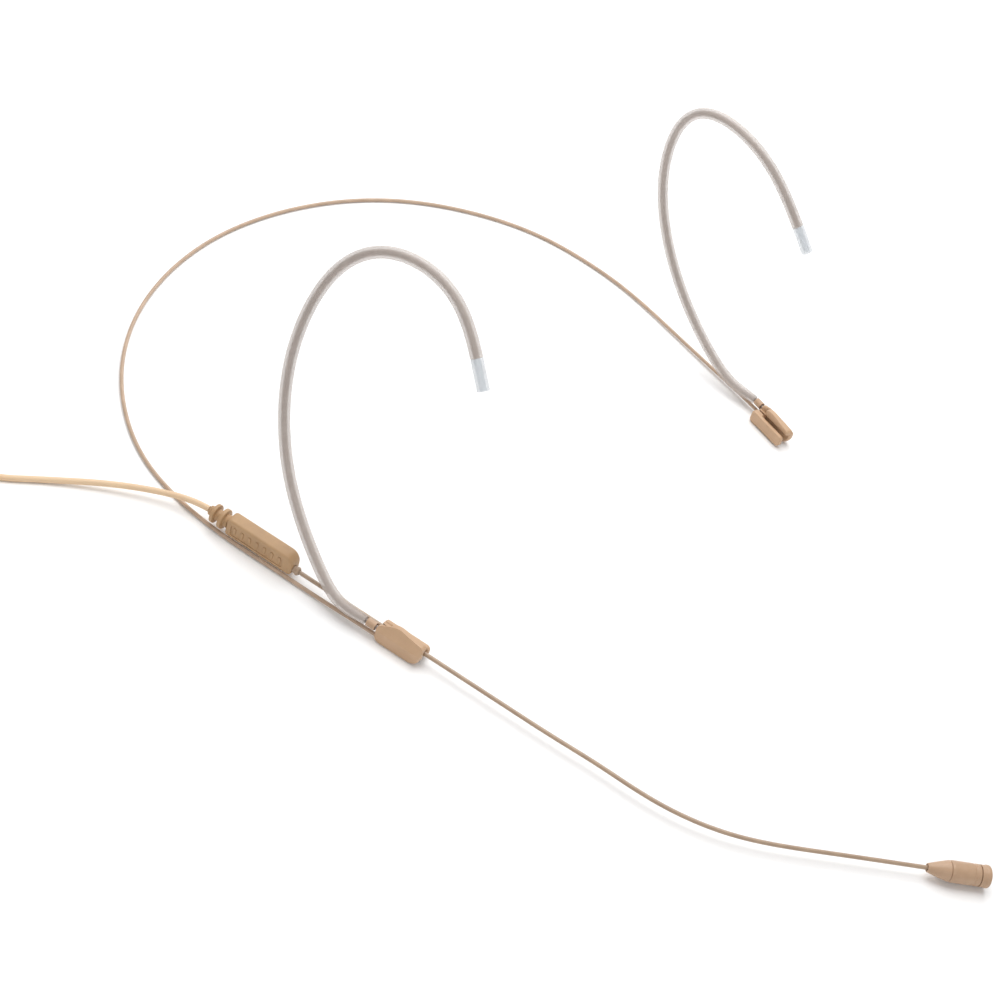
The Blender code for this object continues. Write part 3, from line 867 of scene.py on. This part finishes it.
@dataclass
class Neckband:
    """The spring wire from one clip round the back of the head to the other."""

    radius: float = 0.42
    bore: Pair = (1.45, 0.95)
    pin_depth: float = 2.8
    bends: tuple = (
        (-64.5, 12, 0.6), (-66, 20, 0.5), (-68, 29.5, 0.5), (-70, 39.5, 0.5), (-70.5, 57.5, 0.5),
        (-64.5, 73.5, 0.5), (-52.5, 90, 0.5), (-33, 104.5, 0.5), (-5.5, 113.5, 0.5), (24.5, 111.5, 0.5),
        (48.5, 100.5, 0.5), (65.5, 79.5, 0.5), (69.5, 62, 0.5), (70.5, 46.5, 0.6), (67, 26, 0.8),
    )

    def build(self) -> None:
        """Makes the wire, with a pin in each clip."""
        outward, up = self.bore
        ends = {
            side: [LAYOUT.point(side, outward, back, up) for back in (-self.pin_depth, 0, 5)] for side in Side
        }
        right, left = ends[Side.RIGHT], ends[Side.LEFT]
        middle = smooth_route([right[1], right[2], *self.bends, left[2], left[1]], 1.0)
        route = stretch_of(np.vstack([[tuple(right[0])], middle, [tuple(left[0])]]), 0, None, 1.5)
        length = distances_along(route)[-1]
        mesh = sweep("neckband", route, rod_rings(length, self.radius, 1.5))
        mount(dressed("neckband", mesh, Finish.WIRE), "frame", "tan_wire", "neckband_wire")


@dataclass
class EarHook:
    """One ear hook: a formed wire in a clear sleeve that runs on past its end, and its ferrule."""

    side: Side
    wire_radius: float = 0.45
    sleeve_radius: float = 1.2
    sleeve_wall: float = 0.55
    empty_tip: float = 6.0
    pin_depth: float = 2.8
    bore: Pair = (1.45, 2.9)
    lean: float = math.radians(14)
    yaw: float = math.radians(5)
    sleeve_start: float = 1.9
    pinch: float = 0.3
    pinch_end: float = 3.5
    root: dict = field(default_factory=lambda: {
        Side.RIGHT: [(-64.4, 8, 3.1), (-63.8, 14, 4.9)], Side.LEFT: [(62.6, 7.3, 2.9), (63.5, 15.5, 4.6)],
    })
    bends: dict = field(default_factory=lambda: {
        Side.RIGHT: [(31, 14.5), (40.5, 36), (38.5, 58.5), (27.5, 69), (11.5, 69), (2, 58), (-0.5, 55)],
        Side.LEFT: [(31.5, 14), (42, 36), (39.5, 60), (28.5, 69.5), (12.5, 67.5), (2.5, 57.5), (-2.5, 51.5)],
    })

    def route(self) -> np.ndarray:
        """The wire's centre line outside the clip, from the bore's mouth to the sleeve's end."""
        sign = self.side.value
        back = Vector((sign * math.sin(self.yaw), math.cos(self.yaw), 0))
        up = Vector((
            -sign * math.sin(self.lean) * math.cos(self.yaw), math.sin(self.lean) * math.sin(self.yaw),
            math.cos(self.lean),
        ))
        outward, height = self.bore
        mouth, *straight = [LAYOUT.point(self.side, outward, distance, height) for distance in (0, 1.2, 2.4)]
        bends = [mouth + back * b + up * u for b, u in self.bends[self.side]]
        return smooth_route([mouth, *straight, *self.root[self.side], *bends], 1.0)

    def build(self) -> None:
        """Makes the wire, the sleeve and the ferrule."""
        word = self.side.word
        body = f"{word}_hook"
        route = self.route()
        whole = distances_along(route)[-1]
        pin = LAYOUT.point(self.side, self.bore[0], -self.pin_depth, self.bore[1])
        core = np.vstack([[tuple(pin)], stretch_of(route, 0, whole - self.empty_tip, 1.0)])
        core = stretch_of(core, 0, None, 1.2)
        wire = sweep(f"{word}_hook_core", core, rod_rings(distances_along(core)[-1], self.wire_radius, 1.2))
        mount(dressed(f"{word}_hook_core", wire, Finish.HOOK_WIRE), body, "tan_wire", f"{word}_hook_wire")
        inner = self.sleeve_radius - self.sleeve_wall
        seam = whole - self.empty_tip
        for name, start, stop, pinch, finish in (
            ("tubing", self.sleeve_start, seam, self.pinch, Finish.TUBING),
            ("tip", seam, whole, 0.0, Finish.TIP),
        ):
            cover = stretch_of(route, start, stop, 1.2)
            rings = tube_rings(stop - start, self.sleeve_radius, inner, 1.2, pinch, self.pinch_end)
            sleeve = dressed(f"{word}_hook_{name}", sweep(name, cover, rings, 28), finish)
            mount(sleeve, body, "clear_sleeve", *([f"{word}_hook_sleeve"] if pinch else []))
        profile = eased([(0.85, 1.5), (0.85, -0.5), (0.62, -0.5), (0.62, 1.5)], 0.06)
        ferrule = turned(f"{word}_hook_collar", profile, 40)
        place = LAYOUT.along(self.side, 0, *self.bore)
        piece = dressed(f"{word}_hook_collar", ferrule, Finish.CAPSULE, place)
        mount(piece, body, "tan_plastic", f"{word}_hook_ferrule")


@dataclass
class Clip:
    """A clip's body, with its tall crowned outer leaf and its spine, and its low inner leaf."""

    side: Side
    rear: float = -0.8
    front: float = -11.3
    spine_front: float = -3.3
    outside: float = 2.3
    inside: float = 1.9
    channel_half: float = 0.85
    leaf_bottom: float = 0.3
    leaf_top: float = 3.1
    crown: float = 0.45
    ridge: float = 2.9
    slant: float = math.radians(33)
    hood_edge: float = -0.25
    hood_bottom: float = 3.25
    hood_setback: float = 0.15
    spine_drop: float = 0.15
    overlap: float = 0.4
    bores: tuple = ((0.0, 2.4, 0.6, 5.0), (1.45, 2.9, 0.55, 3.1), (1.45, 0.95, 0.55, 3.1))

    def build(self) -> None:
        """Makes both pieces."""
        word, sign, place = self.side.word, self.side.value, LAYOUT.clip_frame(self.side)
        outline = rounded_outline([
            (self.rear, 0, 1.4), (self.front, 0, 2.5), (self.front, 4.4, 1.0), (-4.6, 5.3, 1.6),
            (self.rear, 3.75, 0.8),
        ])
        inner_edge = [(x, inset) for x, inset in rounded_rings(self.channel_half, self.outside, 0.4)[:5]]
        outer_edge = rounded_rings(self.channel_half, self.outside, self.crown)[5:]
        rings = [(sign * x, inset) for x, inset in inner_edge + outer_edge]
        leaf = dressed(f"{word}_clip_shell", slab("outer_leaf", outline, rings), Finish.MOULDING, place)
        top = self.leaf_top - self.spine_drop
        corners = [(self.rear, 0, 0.9), (self.spine_front, 0, 0.3), (self.spine_front, top, 0.3)]
        block = rounded_outline([*corners, (self.rear, top, 0.5)])
        inmost, joined = 0.2 - self.inside, self.channel_half + self.overlap
        block_rings = [(sign * x, inset) for x, inset in rounded_rings(inmost, joined, 0.2)]
        carve(leaf, slab("spine", block, block_rings), place, "UNION")
        hood = rounded_outline([
            (self.spine_front, self.hood_bottom, 0.3), (self.front + self.hood_setback, self.hood_bottom, 0.3),
            (self.front + self.hood_setback, 4.3, 0.7), (-5.0, 5.2, 0.9), (self.spine_front, 4.7, 0.35),
        ])
        hood_rings = [*rounded_rings(self.hood_edge, joined, 0.28)[:5], (joined, 0.0)]
        carve(leaf, slab("hood", hood, [(sign * x, inset) for x, inset in hood_rings]), place, "UNION")
        turn = Matrix.Translation((sign * self.outside * MM, 0, self.ridge * MM))
        turn @= Matrix.Rotation(-sign * self.slant, 4, "Y")
        waste = slab("waste", [(-20, -6), (8, -6), (8, 9), (-20, 9)], [(0, 0), (sign * 6, 0)])
        carve(leaf, waste, place @ turn, "DIFFERENCE")
        for outward, up, radius, depth in self.bores:
            cutter = turned("bore", [(0, -2), (radius, -2), (radius, depth), (0, depth)], 32)
            carve(leaf, cutter, LAYOUT.along(self.side, 0, outward, up, forwards=True), "DIFFERENCE")
        soften(leaf, 0.14)
        mount(leaf, "frame", "tan_plastic", f"{word}_clip_body")
        rear = self.rear - 0.25
        blade = rounded_outline([
            (rear, self.leaf_bottom, 0.35), (self.front, self.leaf_bottom, 1.2), (self.front, self.leaf_top, 0.9),
            (rear, self.leaf_top, 0.35),
        ])
        rings = [(sign * x, inset) for x, inset in rounded_rings(-self.inside, -self.channel_half, 0.28)]
        inner = dressed(f"{word}_clip_blade", slab("inner_leaf", blade, rings), Finish.MOULDING, place)
        mount(inner, "frame", "tan_plastic", f"{word}_clip_leaf")


@dataclass
class Boom:
    """The boom tube, bent forward and round to the capsule."""

    radius: float = 0.43
    wall: float = 0.14
    tail: float = 21.6
    straight: float = 22.0
    height: float = 2.4
    bends: tuple = (
        (-52.5, -40), (-50, -49.5), (-48, -62.5), (-41.5, -76.5), (-29, -89), (-14.6, -103.9),
    )

    def route(self, spacing: float) -> np.ndarray:
        """The tube's centre line ahead of its straight part."""
        ahead = [LAYOUT.point(Side.RIGHT, 0, -self.straight - more, self.height) for more in (0, 8)]
        return smooth_route([*ahead, *((x, y, self.height) for x, y in self.bends)], spacing)

    def capsule_frame(self, seat: float) -> Matrix:
        """The capsule's frame: its +Z runs out along the boom's last stretch."""
        route = self.route(3.4)
        axis = Vector(route[-1] - route[-2]).normalized()
        return aimed(Vector(route[-1]) - axis * seat, axis)

    def build(self) -> None:
        """Makes the tube."""
        tail = LAYOUT.point(Side.RIGHT, 0, self.tail, self.height)
        route = stretch_of(np.vstack([[tuple(tail)], self.route(1.0)]), 0, None, 1.3)
        rings = tube_rings(distances_along(route)[-1], self.radius, self.radius - self.wall, 1.3)
        tube = dressed("boom_arm", sweep("boom_arm", route, rings, 24), Finish.BOOM)
        mount(tube, "boom", "tan_wire", "boom_tube")


@dataclass
class Capsule:
    """The microphone capsule: cone, body and pull-off cap with its woven screen."""

    seat: float = 1.2
    cone_length: float = 4.3
    body_end: float = 10.3
    cap_end: float = 12.3
    radius: float = 2.1
    lip: float = 2.2
    strand: float = 0.055
    strands: int = 15

    def build(self, boom: Boom) -> None:
        """Makes the capsule on the boom's end.

        Args:
            boom: the boom that carries it.
        """
        place = boom.capsule_frame(self.seat)
        shoulder, end, top = self.cone_length, self.body_end, self.cap_end
        cone = [
            (1.45, shoulder + 1), (1.45, shoulder), (2.05, shoulder), (1.5, 2.2), (0.85, 0), (0.6, 0),
            (0.6, 1.6), (1.15, shoulder), (1.15, shoulder + 1),
        ]
        body = [
            (self.radius - 0.12, end), (self.radius, end - 0.14), (self.radius, end - 0.9),
            (self.radius - 0.1, end - 1.0), (self.radius - 0.1, end - 1.2), (self.radius, end - 1.3),
            (self.radius, shoulder + 0.5), (1.96, shoulder + 0.1), (1.6, shoulder + 0.1), (1.6, end),
        ]
        cap = [
            (1.45, top), (self.lip - 0.2, top), (self.lip, top - 0.25), (self.lip, top - 0.8),
            (self.radius, top - 0.95), (self.radius, end + 0.1), (1.5, end + 0.1), (1.5, end - 1),
            (1.15, end - 1), (1.15, top - 1.1), (1.75, top - 1.1), (1.75, top - 0.5), (1.45, top - 0.5),
        ]
        for name, profile, owner in (
            ("cone", cone, "boom"), ("body", body, "boom"), ("cap", cap, "capsule_cap"),
        ):
            piece = dressed(f"capsule_{name}_shell", turned(name, eased(profile, 0.1), 64), Finish.CAPSULE, place)
            mount(piece, owner, "tan_plastic", f"capsule_{name}")
        screen = dressed("capsule_gauze", self.gauze(top - 0.8), Finish.SCREEN, place)
        mount(screen, "capsule_cap", "bright_metal", "capsule_screen")

    def gauze(self, height: float) -> bpy.types.Mesh:
        """The screen's crossed strands, each bent over and under the next, in a round frame."""
        bm = bmesh.new()
        reach = 1.6
        half_strand = self.strand * 0.7
        pitch = 2 * reach / (self.strands + 1)
        for way in (0, 1):
            for index in range(self.strands):
                offset = -reach + pitch * (index + 1)
                half = math.sqrt(max(reach**2 - offset**2, 0.01))
                steps = max(4, round(2 * half / pitch * 3))
                loops = []
                for step in range(steps + 1):
                    run = -half + 2 * half * step / steps
                    rise = self.strand * math.sin(math.pi * run / pitch + math.pi * (index + way))
                    x, y = (run, offset) if way else (offset, run)
                    wide, deep = (0, half_strand) if way else (half_strand, 0)
                    loops.append([
                        bm.verts.new(((x + a * wide) * MM, (y + a * deep) * MM, (height + rise + b * half_strand) * MM))
                        for a, b in ((-1, -1), (1, -1), (1, 1), (-1, 1))
                    ])
                for first, second in zip(loops, loops[1:]):
                    bridge(bm, first, second)
                bm.faces.new(loops[0])
                bm.faces.new(loops[-1])
        return mesh_from(bm, "gauze", 50.0)


@dataclass
class Connector:
    """The inline connector: a rounded housing with a ribbed panel, and its ribbed strain relief."""

    front: float = 20.2
    rear: float = 36.4
    relief_end: float = 41.3
    across: Pair = (-2.0, 1.15)
    low: float = 1.05
    high: float = 5.35
    relief_centre: Pair = (-0.4, 3.15)
    margins: Pair = (2.2, 1.2)
    panel_depth: float = 0.2
    ribs: int = 7
    rib_half: float = 0.35

    def build(self) -> None:
        """Makes the housing and the strain relief."""
        place = LAYOUT.clip_frame(Side.RIGHT)
        sign = Side.RIGHT.value
        outline = rounded_outline([
            (self.rear, self.low, 0.6), (self.front, self.low, 0.9), (self.front, self.high, 2.2),
            (self.rear, self.high, 0.8),
        ])
        rings = [(sign * x, inset) for x, inset in rounded_rings(*self.across, 0.5, 6)]
        housing = dressed("connector_shell", slab("housing", outline, rings), Finish.CONNECTOR, place)
        outer = self.across[1]
        first, last = self.front + self.margins[0], self.rear - self.margins[1]
        base, top = self.low + 0.75, self.high - 0.9
        panel = rounded_outline([(first, base, 0.5), (last, base, 0.5), (last, top, 0.5), (first, top, 0.5)])
        recess = [(sign * (outer - self.panel_depth), 0.08), (sign * (outer + 0.5), -0.12)]
        carve(housing, slab("panel", panel, recess), place, "DIFFERENCE")
        base, top = self.low + 1.25, self.high - 1.4
        levels = [(sign * (outer - 0.5), 0), (sign * (outer - 0.1), 0), (sign * (outer - 0.03), 0.1)]
        for index in range(self.ribs):
            middle = first + (last - first) * (index + 0.5) / self.ribs
            near, far = middle - self.rib_half, middle + self.rib_half
            rib = rounded_outline([(near, base, 0.3), (far, base, 0.3), (far, top, 0.3), (near, top, 0.3)], 4)
            carve(housing, slab("rib", rib, levels), place, "UNION")
        bore = turned("socket", [(0, -1), (0.85, -1), (0.85, 7.6), (0.42, 7.6), (0.42, 9.6), (0, 9.6)], 40)
        carve(housing, bore, LAYOUT.along(Side.RIGHT, self.front, 0, 2.4), "DIFFERENCE")
        soften(housing, 0.08)
        mount(housing, "connector", "tan_plastic", "connector_housing")
        length = self.relief_end - self.rear
        profile = [
            (0, length), (1.0, length), (1.15, length - 0.95), (2.0, length - 1.05), (2.0, length - 1.75),
            (1.15, length - 1.85), (1.2, length - 2.95), (2.15, length - 3.05), (2.15, length - 3.85),
            (1.25, length - 3.95), (1.4, 0.1), (0, 0.1),
        ]
        relief = turned("relief", eased(profile, 0.14, 4), 56)
        at_rear = LAYOUT.along(Side.RIGHT, self.rear, *self.relief_centre)
        mount(dressed("ribbed_relief", relief, Finish.CONNECTOR, at_rear), "connector", "tan_plastic", "strain_relief")


@dataclass
class JackPlug:
    """The plug on the cable's far end: ribbed boot, knurled grip and collar, and its contacts."""

    boot_start: float = 0.3
    boot_length: float = 10.0
    grip_length: float = 13.0
    neck_length: float = 7.4

    def build(self) -> list[Piece]:
        """Makes every piece of the plug along -Y.

        Returns:
            The pieces.
        """
        place = aimed(PLUG_AT, (0, -1, 0))
        shoulder = self.boot_start + self.boot_length + self.grip_length
        front = shoulder + self.neck_length
        tail = shoulder - self.grip_length
        boot = [
            (0, tail - 0.1), (2.3, tail - 0.1), (2.1, 6.5), (1.5, 5.5), (1.8, 4.4), (1.3, 3.3), (1.5, 2.2),
            (1.0, self.boot_start), (0, self.boot_start),
        ]
        grip = [
            (0, front), (2.9, front), (2.9, front - 0.6), (2.5, front - 0.7), (2.5, shoulder), (3.1, shoulder),
            (3.3, shoulder - 0.3), (3.3, shoulder - 3.4), (3.05, shoulder - 3.6), (3.05, shoulder - 4.0),
            (3.3, shoulder - 4.2), (3.3, tail + 0.6), (2.9, tail), (0, tail),
        ]
        collar = [
            (3.9, front - 0.1), (4.0, front - 0.3), (4.0, shoulder + 0.6), (3.6, shoulder + 0.2),
            (2.62, shoulder + 0.2), (2.62, front - 0.85), (3.05, front - 0.75), (3.05, front - 0.1),
        ]
        pieces = [
            self.piece("boot", eased(boot, 0.25, 4), Finish.MOULDING, place, "tan_plastic"),
            self.piece("grip", eased(grip, 0.1), Finish.NICKEL, place, "bright_metal"),
        ]
        fluted = turned("collar", eased(collar, 0.08), 96, flute=(3.98, 0.16))
        ring = dressed("plug_collar_ring", fluted, Finish.NICKEL, place)
        pieces.append(mount(ring, "lock_collar", "bright_metal", "plug_lock_collar"))
        at = front + 0.1
        for name, radius, length, finish, slot in (
            ("sleeve_contact", 1.75, 8.0, Finish.GOLD, "gold_contact"),
            ("rear_band", 1.65, 0.6, Finish.BLACK, "black_plastic"),
            ("ring_contact", 1.75, 1.9, Finish.GOLD, "gold_contact"),
            ("front_band", 1.65, 0.6, Finish.BLACK, "black_plastic"),
        ):
            profile = [(0, at + length), (radius, at + length), (radius, at), (0, at)]
            pieces.append(self.piece(name, eased(profile, 0.08), finish, place, slot))
            at += length + 0.05
        tip = [(0, at + 3.2), (0.6, at + 3.1), (1.7, at + 1.6), (1.7, at + 1.2), (1.3, at + 0.8), (1.3, at), (0, at)]
        pieces.append(self.piece("tip_contact", eased(tip, 0.3, 4), Finish.GOLD, place, "gold_contact"))
        return pieces

    @staticmethod
    def piece(name: str, profile: list, finish: Finish, place: Matrix, slot: str) -> Piece:
        """Turns one piece of the plug in place of its node."""
        made = dressed(f"plug_{name}_turned", turned(name, profile, 56), finish, place)
        return mount(made, "connector", slot, f"plug_{name}")


@dataclass
class Fittings:
    """The nodes whose own shapes stay, with their finishes."""

    finishes: dict = field(default_factory=lambda: {
        "boom_signal_core": Finish.GOLD,
        "microphone_cartridge": Finish.NICKEL,
        "cartridge_seal": Finish.RUBBER,
        "boom_grip_sleeve": Finish.RUBBER,
        "tail_plug_barrel": Finish.BOOM,
        "tail_plug_insulator": Finish.BLACK,
        "tail_plug_pin": Finish.GOLD,
        "socket_contact": Finish.GOLD,
        "coil_tie": Finish.BLACK,
    })

    def build(self) -> None:
        """Dresses each node."""
        for name, finish in self.finishes.items():
            for entry in bpy.data.objects[name].material_slots:
                entry.material = finish.material()
            log.info("%s keeps its own shape", name)


def main() -> None:
    """Builds the headset's looks, piece by piece."""
    logging.basicConfig(level=logging.INFO, format="%(name)s: %(message)s")
    Studio().build()
    CableRun().build(JackPlug().build())
    Neckband().build()
    for side in Side:
        EarHook(side).build()
        Clip(side).build()
    boom = Boom()
    boom.build()
    Capsule().build(boom)
    Connector().build()
    Fittings().build()


if __name__ == "__main__":
    main()
